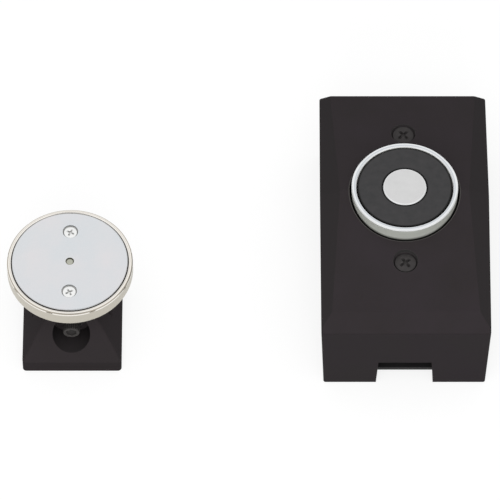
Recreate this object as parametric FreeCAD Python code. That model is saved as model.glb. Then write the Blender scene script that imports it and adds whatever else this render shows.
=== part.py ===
"""Electromagnetic door holder: a wall magnet under a bevelled cover, and a swivelling armature for the door.

Millimetres, +Z up. Both units lie on their backs at z = 0, the wall plane and the plane of the door leaf.
The origin is where the magnet's axis meets the wall plane. +Y is the cover's end away from its cable notch.
"""
import FreeCAD, Part
import math
import os

# Driving dimensions: cover of the wall unit
cover_length = 117.9
cover_width = 70.4            # at the top of the lower end wall
magnet_from_top = 54.1        # magnet axis to the cover's upper end
wall_height = 39.5            # foot to the top of the lower end wall
wall_draft = 1.3              # how far each wall leans in at its foot
end_rise = 3.5                # top of the lower end wall to the front at the cover's two ends
knee_rise = 11.5              # and to the knee over the magnet's axis, where the two front planes meet
chamfer_run = 8.6             # chamfer over the cable notch, along Y
bevel_end_width = 4.6         # side bevels, along X, at the cover's two ends
bevel_knee_width = 8.3        # and at the knee
bevel_slope = 0.45            # how far the bevels fall towards the walls, for each mm along X
cover_wall = 3.0
cover_edge_round = 0.9
magnet_hole_round = 0.35
notch_width = 22.2            # at the top of the cable notch
notch_flare = 0.8             # how much wider the notch is at its foot, each side
notch_height = 16.0

# Driving dimensions: cover screws and the hex standoffs they go into
screw_from_magnet = 32.2
cover_screw_head_r = 4.7
cover_screw_r = 2.1
cover_screw_recess = 1.4      # rim of the oval head below the sloping front
cover_screw_dome = 0.6        # crown of the oval head above its rim
cover_pocket_gap = 0.5        # pocket round the head
cover_screw_bite = 10.0       # length in the standoff
cover_boss_r = 6.5
cover_boss_drop = 2.0         # boss below the inside of the front
standoff_flats = 9.0
standoff_spigot_r = 2.5

# Driving dimensions: magnet
pot_d = 44.5
pot_depth = 25.4
pot_wall = 2.1
pot_floor = 4.0
pot_edge = 0.4                # chamfer
core_d = 18.2
core_edge = 0.3               # chamfer
magnet_stand = 2.9            # magnet face above the knee
magnet_gap = 0.8              # cover around the pot
potting_recess = 0.3
potting_depth = 5.0
potting_gap = 0.45            # where the resin has shrunk away from the steel
bobbin_wall = 1.2
winding_margin = 0.8          # winding inside the rim of the bobbin's flanges
magnet_bolt_r = 4.0
magnet_bolt_flats = 13.0
magnet_bolt_head = 5.3
magnet_bolt_bite = 12.0       # length in the core
lock_washer_r = 7.4
lock_washer_t = 2.0
lock_washer_split = 1.2

# Driving dimensions: mounting plate and bracket
plate_t = 1.6
plate_margin = 1.2            # plate inside the cover's walls
plate_corner_r = 3.0
cable_gap = 6.1               # plate's edge inside the lower end's outer face
box_screw_spacing = 83.3
box_screw_hole_r = 2.3
bracket_t = 2.0
bracket_width = 26.0          # along Y
bracket_span = 40.0           # over the legs, along X
bracket_foot = 9.0
bracket_bend_r = 2.0
rivet_r = 2.0
rivet_head_r = 3.2
rivet_head_h = 1.5
rivet_crown_r = 1.8           # flat on top of the head
rivet_spacing = 15.0

# Driving dimensions: leads, circuit board and terminals
lead_r = 0.75
lead_pitch = 2.0
lead_bend_r = 6.0
lead_drop = 8.0               # pot's back to the level stretch
lead_pad_side = 5.4           # leads' pads inside the board's inner side edge
lead_pad_end = 3.0            # and inside its end towards the magnet
bush_r = 2.6
bush_bore_r = 2.0
bush_lip_r = 3.4
bush_lip_t = 1.2
board_length = 28.0
board_width = 20.0
board_t = 1.6
board_margin = 0.8            # board inside the plate's side edge
board_above_plate = 5.0
board_from_plate_end = 2.2
board_screw_r = 1.5
board_screw_head_r = 2.6
board_screw_head_h = 1.6
board_spacer_r = 3.0
terminal_pitch = 5.0
terminal_count = 3
terminal_depth = 9.0
terminal_height = 10.0
terminal_inset = 0.8          # block inside the board's edges
terminal_entry_r = 1.7
terminal_entry_depth = 6.0
terminal_entry_rise = 3.3     # wire entries above the board
terminal_screw_r = 1.8
terminal_screw_h = 2.5
terminal_screw_sunk = 0.5     # screw's top below the block's
terminal_slot_width = 0.7
terminal_slot_depth = 0.8
rectifier_length = 8.0
rectifier_width = 5.0
rectifier_height = 3.5
earth_screw_r = 2.0
earth_screw_head_r = 3.8
earth_screw_head_h = 2.2

# Driving dimensions: armature unit
armature_x = -139.4           # where the armature's axis stands beside the magnet's
armature_y = -36.2
base_side = 41.5
base_skirt = 6.5              # upright band round the foot
base_height = 29.5
base_top_side = 16.2
base_corner_r = 1.6
door_bolt_spacing = 25.4
door_bolt_r = 2.4
door_bolt_depth = 9.0
slot_floor = 13.4
slot_gap = 0.1                # tongue in the slot, each side
pivot_z = 18.5
pivot_r = 2.0
pivot_head_r = 3.5
pivot_head_h = 4.0
pivot_hex = 3.0
pivot_hex_depth = 2.2
pivot_tip_inset = 2.0         # screw's tip short of the far slope
counterbore_r = 7.85
cheek_t = 5.1                 # slot to the counterbore's floor
pivot_washer_r = 4.6
pivot_washer_t = 0.9
spring_washer_r = 3.6
spring_washer_t = 1.2
spring_washer_split = 0.9
tongue_t = 4.8
eye_gap = 0.5                 # tongue's eye above the slot's floor
flange_r = 19.0
flange_t = 4.0
flange_neck = 11.0            # half-width of the tongue where it meets the flange
flange_neck_h = 6.0
cup_r = 26.15
cup_wall = 2.0
cup_floor = 1.5
cup_lip_round = 0.95
cup_foot_round = 1.5
stake_count = 9               # dents of the ball punch that closes the lip on the plate
stake_first_deg = -68.0
stake_ball_r = 3.0
stake_depth = 0.25
stake_rise_deg = 15.0         # where a dent lies on the lip's outer rounding, up from level
armature_face = 52.3          # plate's face above the door
plate_gap = 0.1               # armature plate inside the cup
plate_stand = 0.35            # plate's face above the cup's lip
cup_height = 7.65
armature_edge = 0.45          # rounding of the plate's edge
armature_screw_spacing = 29.5
armature_screw_r = 1.75
armature_screw_head_r = 2.8
armature_screw_recess = 0.7
armature_screw_pocket_r = 3.2
armature_screw_bite = 3.4     # length in the flange
pin_r = 1.6
pin_recess = 0.5
pin_ring = 0.15               # gap round the pin in the plate
pin_bite = 3.0                # length in the flange

# Driving dimensions: cross recesses, as parts of the head's radius
recess_reach = 0.52
recess_depth = 0.42
recess_half_blade = 0.13
recess_tip = 0.21             # reach at the bottom of the recess

# Clearances that every fit shares
thread_gap = 0.05             # screw in its tapped hole
hole_gap = 0.2                # screw in its clearance hole
running_gap = 0.05            # pivot screw in the tongue's eye
seat_gap = 0.1                # curved faces that meet
tap_spare = 0.3               # tapped blind hole below its screw's tip

# Levels and places that follow from them
edge_z = wall_height
end_z = edge_z + end_rise
knee_z = edge_z + knee_rise
face_z = knee_z + magnet_stand
pot_r = pot_d / 2
core_r = core_d / 2
pot_back = face_z - pot_depth
pot_floor_z = pot_back + pot_floor
top_y = magnet_from_top
bottom_y = top_y - cover_length
chamfer_y = bottom_y + chamfer_run
plate_x = cover_width / 2 - wall_draft - cover_wall - plate_margin
plate_top_y = top_y - wall_draft - cover_wall - plate_margin
plate_bottom_y = bottom_y + wall_draft + cable_gap
board_x = plate_x - board_margin - board_width / 2
board_low_y = plate_bottom_y + board_from_plate_end
board_low_z = plate_t + board_above_plate
board_top_z = board_low_z + board_t
lead_y = -(bracket_width / 2 + bush_lip_r + seat_gap)
slot_width = tongue_t + 2 * slot_gap
counterbore_y = slot_width / 2 + cheek_t
eye_r = pivot_z - slot_floor - eye_gap
cup_lip_z = armature_face - plate_stand
cup_back = cup_lip_z - cup_height
flange_low = cup_back - flange_t
screw_rows = (-screw_from_magnet, screw_from_magnet)
cover_pocket_r = cover_screw_head_r + cover_pocket_gap
armature_rows = (-armature_screw_spacing / 2, armature_screw_spacing / 2)
beyond = 1.0                  # how far cutting tools reach past the faces they open

Vector = FreeCAD.Vector
up = Vector(0, 0, 1)


def cylinder(radius, low, high, x=0.0, y=0.0):
    """Upright cylinder between two levels."""
    return Part.makeCylinder(radius, high - low, Vector(x, y, low))


def cone(low_r, high_r, low, high, x=0.0, y=0.0):
    """Upright cone between two levels."""
    return Part.makeCone(low_r, high_r, high - low, Vector(x, y, low))


def ring(outer_r, inner_r, low, high, x=0.0, y=0.0):
    """Upright tube between two levels."""
    return cylinder(outer_r, low, high, x, y).cut(cylinder(inner_r, low, high, x, y))


def block(low, high):
    """Box between two opposite corners."""
    return Part.makeBox(high[0] - low[0], high[1] - low[1], high[2] - low[2], Vector(*low))


def prism(corners, run):
    """Straight prism: a flat outline of corners, carried along the vector run."""
    points = [Vector(*corner) for corner in corners]
    return Part.Face(Part.makePolygon(points + points[:1])).extrude(run)


def hexagon(across_flats, low, high, x=0.0, y=0.0):
    """Upright hexagonal bar between two levels."""
    corner_r = across_flats / math.sqrt(3)
    turns = [math.radians(60 * step) for step in range(6)]
    corners = [(x + corner_r * math.cos(a), y + corner_r * math.sin(a), low) for a in turns]
    return prism(corners, up * (high - low))


def rounded_plate(half_x, low_y, high_y, corner_r, low, high):
    """Flat plate with rounded corners, centred on x = 0."""
    plate = block((-half_x, low_y, low), (half_x, high_y, high))
    upright = [edge for edge in plate.Edges if edge.BoundBox.ZLength > (high - low) / 2]
    return plate.makeFillet(corner_r, upright)


def cross_recess(head_r, top, x=0.0, y=0.0, turn=45.0):
    """Tapered cross-shaped driver recess for a screw head whose top is flat."""
    reach = recess_reach * head_r
    depth = recess_depth * head_r
    half_blade = recess_half_blade * head_r
    blade = block((-reach, -half_blade, top - depth), (reach, half_blade, top + beyond))
    across = blade.copy()
    across.rotate(Vector(0, 0, 0), up, 90)
    taper = cone(recess_tip * head_r, reach, top - depth, top).fuse(cylinder(reach, top, top + beyond))
    recess = blade.fuse(across).common(taper)
    recess.rotate(Vector(0, 0, 0), up, turn)
    recess.translate(Vector(x, y, 0))
    return recess


def on_armature(shape):
    """Carries a shape made about the armature's own axis to its place beside the magnet."""
    moved = shape.copy()
    moved.translate(Vector(armature_x, armature_y, 0))
    return moved


def along_pivot(shape):
    """Turns a shape made about +Z onto the pivot screw's axis: +Z becomes -Y, out of the counterbore."""
    turned = shape.copy()
    turned.rotate(Vector(0, 0, 0), Vector(1, 0, 0), 90)
    turned.translate(Vector(0, 0, pivot_z))
    return turned


def front_level(y):
    """Height of the cover's roof-shaped front at a place along Y."""
    end_y = top_y if y > 0 else chamfer_y
    return knee_z - (knee_z - end_z) * y / end_y


boss_low = min(front_level(y) for y in screw_rows) - cover_wall - cover_boss_drop


def outside_bevel(side, end_y, inset):
    """Space outside one side bevel, whose plane goes up its inner edge from an end to the knee."""
    half = cover_width / 2
    inner_end = Vector(side * (half - bevel_end_width), end_y, end_z)
    inner_knee = Vector(side * (half - bevel_knee_width), 0, knee_z)
    along = inner_knee - inner_end
    along.normalize()
    normal = along.cross(Vector(side, 0, -bevel_slope))
    normal = normal / math.copysign(normal.Length, normal.z)
    across = normal.cross(along)
    middle = inner_end - normal * inset
    turns = ((-1, -1), (1, -1), (1, 1), (-1, 1))
    reach = 2 * cover_length
    return prism([middle + (along * a + across * b) * reach for a, b in turns], normal * reach)


def cover_form(inset):
    """The cover's convex form: its side outline met by its end outline, less the side bevels.

    All its faces are moved in by inset. An inset form also runs out below the foot, to open the shell.
    """
    drop = 2 * inset
    crown = knee_z + beyond
    lean = wall_draft * (1 + drop / edge_z)
    foot = cover_width / 2 - lean
    head = cover_width / 2 + wall_draft * (crown / edge_z - 1)
    side = [(0, bottom_y + lean, -drop), (0, bottom_y, edge_z), (0, chamfer_y, end_z),
            (0, 0, knee_z), (0, top_y, end_z), (0, top_y - lean, -drop)]
    end = [(-foot, 0, -drop), (-head, 0, crown + inset), (head, 0, crown + inset), (foot, 0, -drop)]
    solids = []
    for corners, run in ((side, Vector(2 * head, 0, 0)), (end, Vector(0, cover_length, 0))):
        points = [Vector(*corner) for corner in corners]
        outline = Part.Face(Part.makePolygon(points + points[:1]))
        if inset:
            outline = outline.makeOffset2D(-inset, 2)
        solids.append(outline.extrude(run))
    solids[0].translate(Vector(-head, 0, 0))
    solids[1].translate(Vector(0, bottom_y, 0))
    form = solids[0].common(solids[1])
    for side in (-1, 1):
        for end_y in (chamfer_y, top_y):
            form = form.cut(outside_bevel(side, end_y, inset))
    return form.removeSplitter()


def front_hole_edges(shell, radius):
    """Edges where the magnet's hole, of the given radius, meets the front."""
    found = []
    for edge in shell.Edges:
        middle = edge.valueAt((edge.FirstParameter + edge.LastParameter) / 2)
        points = [vertex.Point for vertex in edge.Vertexes] + [middle]
        on_wall = all(abs(math.hypot(point.x, point.y) - radius) < seat_gap for point in points)
        if on_wall and all(abs(point.z - front_level(point.y)) < seat_gap for point in points):
            found.append(edge)
    return found


def screw_pocket(y):
    """Space that a cover screw takes in the cover: shank, seat and pocket."""
    rim = front_level(y) - cover_screw_recess
    clear_r = cover_screw_r + hole_gap
    neck = rim - (cover_screw_head_r - cover_screw_r) - seat_gap
    seat = neck + cover_pocket_r - clear_r
    pocket = cylinder(clear_r, boss_low - beyond, neck, 0, y)
    pocket = pocket.fuse(cone(clear_r, cover_pocket_r, neck, seat, 0, y))
    return pocket.fuse(cylinder(cover_pocket_r, seat, knee_z, 0, y))


def cover():
    """Moulded shell with a roof-shaped front, open at the back."""
    form = cover_form(0)
    shown = [edge for edge in form.Edges if max(v.Z for v in edge.Vertexes) > beyond]
    rounded = form.makeFillet(cover_edge_round, shown)
    shell = rounded.cut(cover_form(cover_wall))
    for y in screw_rows:
        boss = cylinder(cover_boss_r, boss_low, knee_z, 0, y)
        shell = shell.fuse(boss.common(rounded))
    hole_r = pot_r + magnet_gap
    shell = shell.cut(cylinder(hole_r, boss_low - beyond, knee_z + beyond))
    shell = shell.makeFillet(magnet_hole_round, front_hole_edges(shell, hole_r))
    for y in screw_rows:
        shell = shell.cut(screw_pocket(y))
    half_top = notch_width / 2
    half_foot = half_top + notch_flare
    start = bottom_y - beyond
    notch = [(-half_foot, start, 0), (half_foot, start, 0),
             (half_top, start, notch_height), (-half_top, start, notch_height)]
    shell = shell.cut(prism(notch, Vector(0, beyond + wall_draft + cover_wall + plate_margin, 0)))
    return shell.removeSplitter()


def mounting_plate():
    """Flat steel plate inside the cover's foot: wall screw holes and the holes of what it carries."""
    plate = rounded_plate(plate_x, plate_bottom_y, plate_top_y, plate_corner_r, 0, plate_t)
    holes = [(box_screw_hole_r, 0, side * box_screw_spacing / 2) for side in (-1, 1)]
    holes += [(standoff_spigot_r + thread_gap, 0, y) for y in screw_rows]
    holes += [(rivet_r + thread_gap, x, y) for x, y in rivet_places()]
    holes += [(board_screw_r + thread_gap, x, y) for x, y in board_screw_places()]
    holes += [(earth_screw_r + thread_gap, *earth_screw_place())]
    for radius, x, y in holes:
        plate = plate.cut(cylinder(radius, -beyond, plate_t + beyond, x, y))
    return plate


def cover_standoffs():
    """Hex pillars swaged into the plate, tapped for the cover screws."""
    pillars = []
    for y in screw_rows:
        pillar = hexagon(standoff_flats, plate_t, boss_low, 0, y)
        pillar = pillar.fuse(cylinder(standoff_spigot_r, 0, plate_t, 0, y))
        thread = cylinder(cover_screw_r + thread_gap, boss_low - cover_screw_bite - tap_spare, boss_low, 0, y)
        pillars.append(pillar.cut(thread))
    return Part.makeCompound(pillars)


def domed(radius, crown, rim, x=0.0, y=0.0):
    """Shallow dome: the cap of a ball, crown high over a rim of the given radius."""
    ball_r = (radius ** 2 + crown ** 2) / (2 * crown)
    ball = Part.makeSphere(ball_r, Vector(x, y, rim + crown - ball_r))
    return ball.common(cylinder(radius, rim, rim + crown, x, y))


def cover_screws():
    """Oval countersunk cross-recess screws that hold the cover."""
    screws = []
    for y in screw_rows:
        rim = front_level(y) - cover_screw_recess
        neck = rim - (cover_screw_head_r - cover_screw_r)
        screw = cone(cover_screw_r, cover_screw_head_r, neck, rim, 0, y)
        screw = screw.fuse(domed(cover_screw_head_r, cover_screw_dome, rim, 0, y))
        screw = screw.fuse(cylinder(cover_screw_r, boss_low - cover_screw_bite, neck, 0, y))
        screws.append(screw.cut(cross_recess(cover_screw_head_r, rim + cover_screw_dome, 0, y)))
    return Part.makeCompound(screws)


def rivet_places():
    """Two rivets in the flat of each foot of the bracket."""
    x = bracket_span / 2 + (bracket_bend_r + bracket_foot) / 2
    return [(side * x, end * rivet_spacing / 2) for side in (-1, 1) for end in (-1, 1)]


def edges_along_y(shape, places):
    """Edges that run along Y at the given (x, z) places."""
    found = []
    for edge in shape.Edges:
        ends = [vertex.Point for vertex in edge.Vertexes]
        for x, z in places:
            if all(math.hypot(point.x - x, point.z - z) < seat_gap for point in ends):
                found.append(edge)
    return found


def magnet_bracket():
    """Hat-section bracket, folded from strip, that carries the magnet above the plate."""
    outer = bracket_span / 2
    inner = outer - bracket_t
    foot_end = outer + bracket_foot
    foot_top = plate_t + bracket_t
    under = pot_back - bracket_t
    right = [(inner, under), (inner, plate_t), (foot_end, plate_t), (foot_end, foot_top), (outer, foot_top),
             (outer, pot_back)]
    left = [(-x, z) for x, z in reversed(right)]
    strip = prism([(x, -bracket_width / 2, z) for x, z in right + left], Vector(0, bracket_width, 0))
    outside = [(side * x, z) for side in (-1, 1) for x, z in ((outer, pot_back), (inner, plate_t))]
    inside = [(side * x, z) for side in (-1, 1) for x, z in ((outer, foot_top), (inner, under))]
    strip = strip.makeFillet(bracket_bend_r + bracket_t, edges_along_y(strip, outside))
    strip = strip.makeFillet(bracket_bend_r, edges_along_y(strip, inside))
    strip = strip.cut(cylinder(magnet_bolt_r + hole_gap, under - beyond, pot_back + beyond))
    for x, y in rivet_places():
        strip = strip.cut(cylinder(rivet_r + thread_gap, 0, foot_top + beyond, x, y))
    return strip


def bracket_rivets():
    """Rivets through the bracket's feet, set flush with the plate's back."""
    foot_top = plate_t + bracket_t
    rivets = []
    for x, y in rivet_places():
        head = cone(rivet_head_r, rivet_crown_r, foot_top, foot_top + rivet_head_h, x, y)
        rivets.append(head.fuse(cylinder(rivet_r, 0, foot_top, x, y)))
    return Part.makeCompound(rivets)


def magnet_pot():
    """Turned steel cup that closes the magnet's outer path."""
    body = cylinder(pot_r, pot_back, face_z)
    body = body.cut(cylinder(pot_r - pot_wall, pot_floor_z, face_z))
    rims = [edge for edge in body.Edges if edge.BoundBox.ZMin > face_z - seat_gap]
    body = body.makeChamfer(pot_edge, rims)
    body = body.cut(cylinder(magnet_bolt_r + hole_gap, pot_back, pot_floor_z))
    return body.cut(cylinder(bush_r + thread_gap, pot_back, pot_floor_z, 0, lead_y))


def magnet_core():
    """Centre pole, drawn onto the pot's floor by the magnet bolt."""
    core = cylinder(core_r, pot_floor_z, face_z)
    rim = [edge for edge in core.Edges if edge.BoundBox.ZMin > face_z - seat_gap]
    core = core.makeChamfer(core_edge, rim)
    thread_top = pot_floor_z + magnet_bolt_bite + tap_spare
    return core.cut(cylinder(magnet_bolt_r + thread_gap, pot_floor_z, thread_top))


potting_low = face_z - potting_recess - potting_depth
flange_rim_r = pot_r - pot_wall - winding_margin


def coil_bobbin():
    """Spool that sits on the pot's floor round the core."""
    bore = core_r + seat_gap
    spool = cylinder(bore + bobbin_wall, pot_floor_z, potting_low)
    spool = spool.fuse(cylinder(flange_rim_r, pot_floor_z, pot_floor_z + bobbin_wall))
    spool = spool.fuse(cylinder(flange_rim_r, potting_low - bobbin_wall, potting_low))
    return spool.cut(cylinder(bore, pot_floor_z, potting_low)).removeSplitter()


def coil_winding():
    """Copper winding between the spool's flanges, as one solid."""
    low = pot_floor_z + bobbin_wall + seat_gap
    high = potting_low - bobbin_wall - seat_gap
    return ring(flange_rim_r - winding_margin, core_r + bobbin_wall + 2 * seat_gap, low, high)


def potting_ring():
    """Cast resin that seals the coil, a little below the magnet's face."""
    return ring(pot_r - pot_wall - potting_gap, core_r + potting_gap, potting_low, face_z - potting_recess)


def magnet_bolt():
    """Hex bolt from under the bracket, through the pot's floor into the core."""
    seat = pot_back - bracket_t - lock_washer_t
    bolt = hexagon(magnet_bolt_flats, seat - magnet_bolt_head, seat)
    return bolt.fuse(cylinder(magnet_bolt_r, seat, pot_floor_z + magnet_bolt_bite))


def split_washer(outer_r, inner_r, thickness, split):
    """Spring washer about +Z with its slanting split, lying on z = 0."""
    washer = ring(outer_r, inner_r, 0, thickness)
    gap = [(0, -split / 2, 0), (0, split / 2, 0), (0, split, thickness), (0, 0, thickness)]
    return washer.cut(prism(gap, Vector(outer_r + beyond, 0, 0)))


def magnet_lock_washer():
    """Spring washer between the bolt's head and the bracket."""
    washer = split_washer(lock_washer_r, magnet_bolt_r + hole_gap, lock_washer_t, lock_washer_split)
    washer.translate(Vector(0, 0, pot_back - bracket_t - lock_washer_t))
    return washer


def lead_bush():
    """Insulating bush where the leads leave the pot's floor."""
    bush = cylinder(bush_r, pot_back, pot_floor_z, 0, lead_y)
    bush = bush.fuse(cylinder(bush_lip_r, pot_back - bush_lip_t, pot_back, 0, lead_y))
    return bush.cut(cylinder(bush_bore_r, pot_back - bush_lip_t, pot_floor_z, 0, lead_y)).removeSplitter()


def coil_leads():
    """Two insulated leads: down out of the pot, level across, and down onto the board."""
    pad_x = board_x - board_width / 2 + lead_pad_side
    pad_y = board_low_y + board_length - lead_pad_end
    level = pot_back - lead_drop
    span = Vector(pad_x, pad_y - lead_y, 0)
    run = span / span.Length
    across = Vector(-run.y, run.x, 0)
    bend = lead_bend_r
    sweep = bend * (1 - math.cos(math.radians(45)))
    leads = []
    for side in (-1, 1):
        top = Vector(0, lead_y, pot_floor_z) + across * (side * lead_pitch / 2)
        corner = Vector(top.x, top.y, level)
        far = corner + span
        end = Vector(far.x, far.y, board_top_z)
        first = [corner + up * bend, corner + (run + up) * sweep, corner + run * bend]
        second = [far - run * bend, far - (run + up) * sweep, far - up * bend]
        edges = [Part.LineSegment(top, first[0]).toShape(), Part.Arc(*first).toShape(),
                 Part.LineSegment(first[2], second[0]).toShape(), Part.Arc(*second).toShape(),
                 Part.LineSegment(second[2], end).toShape()]
        section = Part.Wire(Part.makeCircle(lead_r, top, up))
        leads.append(Part.Wire(edges).makePipeShell([section], True, False))
    return Part.makeCompound(leads)


def board_screw_places():
    """One screw on each long side of the board, clear of the terminal block."""
    clear = board_screw_head_r + terminal_inset
    near = board_low_y + terminal_inset + terminal_depth + clear
    far = board_low_y + board_length - clear
    return [(board_x - board_width / 2 + clear, near), (board_x + board_width / 2 - clear, far)]


def circuit_board():
    """Board that carries the rectifier and the terminal block on two spacers."""
    low = (board_x - board_width / 2, board_low_y, board_low_z)
    high = (board_x + board_width / 2, board_low_y + board_length, board_top_z)
    board = block(low, high)
    for x, y in board_screw_places():
        board = board.cut(cylinder(board_screw_r + hole_gap, board_low_z, board_top_z, x, y))
    return board


def board_spacers():
    """Tubes that hold the board off the plate."""
    bore = board_screw_r + hole_gap
    places = board_screw_places()
    return Part.makeCompound([ring(board_spacer_r, bore, plate_t, board_low_z, x, y) for x, y in places])


def board_screws():
    """Screws through the board and its spacers into the plate."""
    screws = []
    for x, y in board_screw_places():
        head = cylinder(board_screw_head_r, board_top_z, board_top_z + board_screw_head_h, x, y)
        head = head.cut(cross_recess(board_screw_head_r, board_top_z + board_screw_head_h, x, y))
        screws.append(head.fuse(cylinder(board_screw_r, 0, board_top_z, x, y)))
    return Part.makeCompound(screws)


terminal_width = terminal_count * terminal_pitch
terminal_y = board_low_y + terminal_inset
terminal_top = board_top_z + terminal_height
terminal_screw_y = terminal_y + terminal_depth / 2


def terminal_columns():
    """The poles' places along X."""
    first = board_x - (terminal_count - 1) * terminal_pitch / 2
    return [first + step * terminal_pitch for step in range(terminal_count)]


def terminal_block():
    """Moulded block with a wire entry in its end towards the cable notch and a screw well for each pole."""
    low = (board_x - terminal_width / 2, terminal_y, board_top_z)
    body = block(low, (board_x + terminal_width / 2, terminal_y + terminal_depth, terminal_top))
    entry_z = board_top_z + terminal_entry_rise
    well_low = terminal_top - terminal_screw_sunk - terminal_screw_h
    for x in terminal_columns():
        mouth = Vector(x, terminal_y, entry_z)
        body = body.cut(Part.makeCylinder(terminal_entry_r, terminal_entry_depth, mouth, Vector(0, 1, 0)))
        body = body.cut(cylinder(terminal_screw_r + thread_gap, well_low, terminal_top, x, terminal_screw_y))
    return body


def terminal_screws():
    """Slotted clamp screws, one in each well."""
    y = terminal_screw_y
    high = terminal_top - terminal_screw_sunk
    low = high - terminal_screw_h
    half_slot = terminal_slot_width / 2
    screws = []
    for x in terminal_columns():
        slot = block((x - terminal_screw_r, y - half_slot, high - terminal_slot_depth),
                     (x + terminal_screw_r, y + half_slot, high))
        screws.append(cylinder(terminal_screw_r, low, high, x, y).cut(slot))
    return Part.makeCompound(screws)


def rectifier():
    """Bridge rectifier that lets the coil run from alternating supplies."""
    near = terminal_y + terminal_depth + board_screw_head_r
    left = board_x - rectifier_length / 2 + board_screw_head_r
    low = (left, near, board_top_z)
    return block(low, (left + rectifier_length, near + rectifier_width, board_top_z + rectifier_height))


def earth_screw_place():
    """On the plate's free side, level with the middle of the board."""
    return (-board_x, board_low_y + board_length / 2)


def earth_screw():
    """Earth terminal on the mounting plate."""
    x, y = earth_screw_place()
    head = cylinder(earth_screw_head_r, plate_t, plate_t + earth_screw_head_h, x, y)
    head = head.cut(cross_recess(earth_screw_head_r, plate_t + earth_screw_head_h, x, y))
    return head.fuse(cylinder(earth_screw_r, 0, plate_t, x, y))


def armature_base():
    """Pyramid-shaped block for the door: slotted for the tongue, counterbored for the pivot screw."""
    foot = base_side / 2
    crown = base_top_side / 2
    side = [(-foot, 0), (foot, 0), (foot, base_skirt), (crown, base_height), (-crown, base_height),
            (-foot, base_skirt)]
    body = prism([(x, -foot, z) for x, z in side], Vector(0, base_side, 0))
    body = body.common(prism([(-foot, y, z) for y, z in side], Vector(base_side, 0, 0)))
    corners = [edge for edge in body.Edges if all(abs(abs(v.X) - abs(v.Y)) < seat_gap for v in edge.Vertexes)]
    corners = [edge for edge in corners if abs(edge.Vertexes[0].Z - edge.Vertexes[1].Z) > seat_gap]
    body = body.makeFillet(base_corner_r, corners)
    body = body.cut(block((-foot, -slot_width / 2, slot_floor), (foot, slot_width / 2, base_height)))
    body = body.cut(along_pivot(cylinder(counterbore_r, counterbore_y, foot)))
    body = body.cut(along_pivot(cylinder(pivot_r + hole_gap, 0, foot)))
    body = body.cut(along_pivot(cylinder(pivot_r + thread_gap, -foot, 0)))
    for place in (-door_bolt_spacing / 2, door_bolt_spacing / 2):
        body = body.cut(cylinder(door_bolt_r, 0, door_bolt_depth, place, 0))
    return on_armature(body)


pivot_seat = counterbore_y + pivot_washer_t + spring_washer_t
slope_run = (base_side - base_top_side) / 2 / (base_height - base_skirt)
far_slope = base_side / 2 - (pivot_z - base_skirt) * slope_run


def pivot_screw():
    """Socket-head screw that the tongue turns on, clamped through both cheeks of the base."""
    top = pivot_seat + pivot_head_h
    head = cylinder(pivot_head_r, pivot_seat, top)
    head = head.cut(hexagon(pivot_hex, top - pivot_hex_depth, top))
    shank = cylinder(pivot_r, pivot_tip_inset - far_slope, pivot_seat)
    return on_armature(along_pivot(head.fuse(shank)))


def pivot_washer():
    """Flat washer on the counterbore's floor."""
    low = counterbore_y
    return on_armature(along_pivot(ring(pivot_washer_r, pivot_r + hole_gap, low, low + pivot_washer_t)))


def pivot_spring_washer():
    """Spring washer under the pivot screw's head, which keeps the tongue's friction."""
    washer = split_washer(spring_washer_r, pivot_r + hole_gap, spring_washer_t, spring_washer_split)
    washer.translate(Vector(0, 0, counterbore_y + pivot_washer_t))
    return on_armature(along_pivot(washer))


def swivel_post():
    """Forged post: a tongue with its eye in the base's slot, and the flange that carries the cup."""
    knee = flange_low - flange_neck_h
    side = [(eye_r, pivot_z), (eye_r, knee), (flange_neck, flange_low)]
    outline = [(x, 0, z) for x, z in side] + [(-x, 0, z) for x, z in reversed(side)]
    tongue = prism(outline, Vector(0, tongue_t, 0))
    tongue.translate(Vector(0, -tongue_t / 2, 0))
    eye = along_pivot(cylinder(eye_r, -tongue_t / 2, tongue_t / 2))
    post = tongue.fuse(eye).fuse(cylinder(flange_r, flange_low, cup_back))
    post = post.cut(along_pivot(cylinder(pivot_r + running_gap, -tongue_t, tongue_t)))
    for y in armature_rows:
        depth = armature_screw_bite + tap_spare
        post = post.cut(cylinder(armature_screw_r + thread_gap, cup_back - depth, cup_back, 0, y))
    post = post.cut(cylinder(pin_r + thread_gap, cup_back - pin_bite, cup_back))
    return on_armature(post.removeSplitter())


def armature_cup():
    """Drawn cup with a rolled lip, held between the plate and the post's flange."""
    cup = cylinder(cup_r, cup_back, cup_lip_z)
    cup = cup.cut(cylinder(cup_r - cup_wall, cup_back + cup_floor, cup_lip_z))
    lip = [edge for edge in cup.Edges if edge.BoundBox.ZMin > cup_lip_z - seat_gap]
    cup = cup.makeFillet(cup_lip_round, lip)
    foot = [edge for edge in cup.Edges if edge.BoundBox.ZMax < cup_back + seat_gap]
    cup = cup.makeFillet(cup_foot_round, foot)
    rise = math.radians(stake_rise_deg)
    reach = cup_lip_round + stake_ball_r - stake_depth
    punch_r = cup_r - cup_lip_round + reach * math.cos(rise)
    punch_z = cup_lip_z - cup_lip_round + reach * math.sin(rise)
    for step in range(stake_count):
        turn = math.radians(stake_first_deg + 360 * step / stake_count)
        centre = Vector(punch_r * math.cos(turn), punch_r * math.sin(turn), punch_z)
        cup = cup.cut(Part.makeSphere(stake_ball_r, centre))
    for y in armature_rows:
        cup = cup.cut(cylinder(armature_screw_r + hole_gap, cup_back, cup_back + cup_floor, 0, y))
    return on_armature(cup.cut(cylinder(pin_r + hole_gap, cup_back, cup_back + cup_floor)))


armature_head_z = armature_face - armature_screw_recess
armature_neck_z = armature_head_z - (armature_screw_head_r - armature_screw_r)


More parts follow.
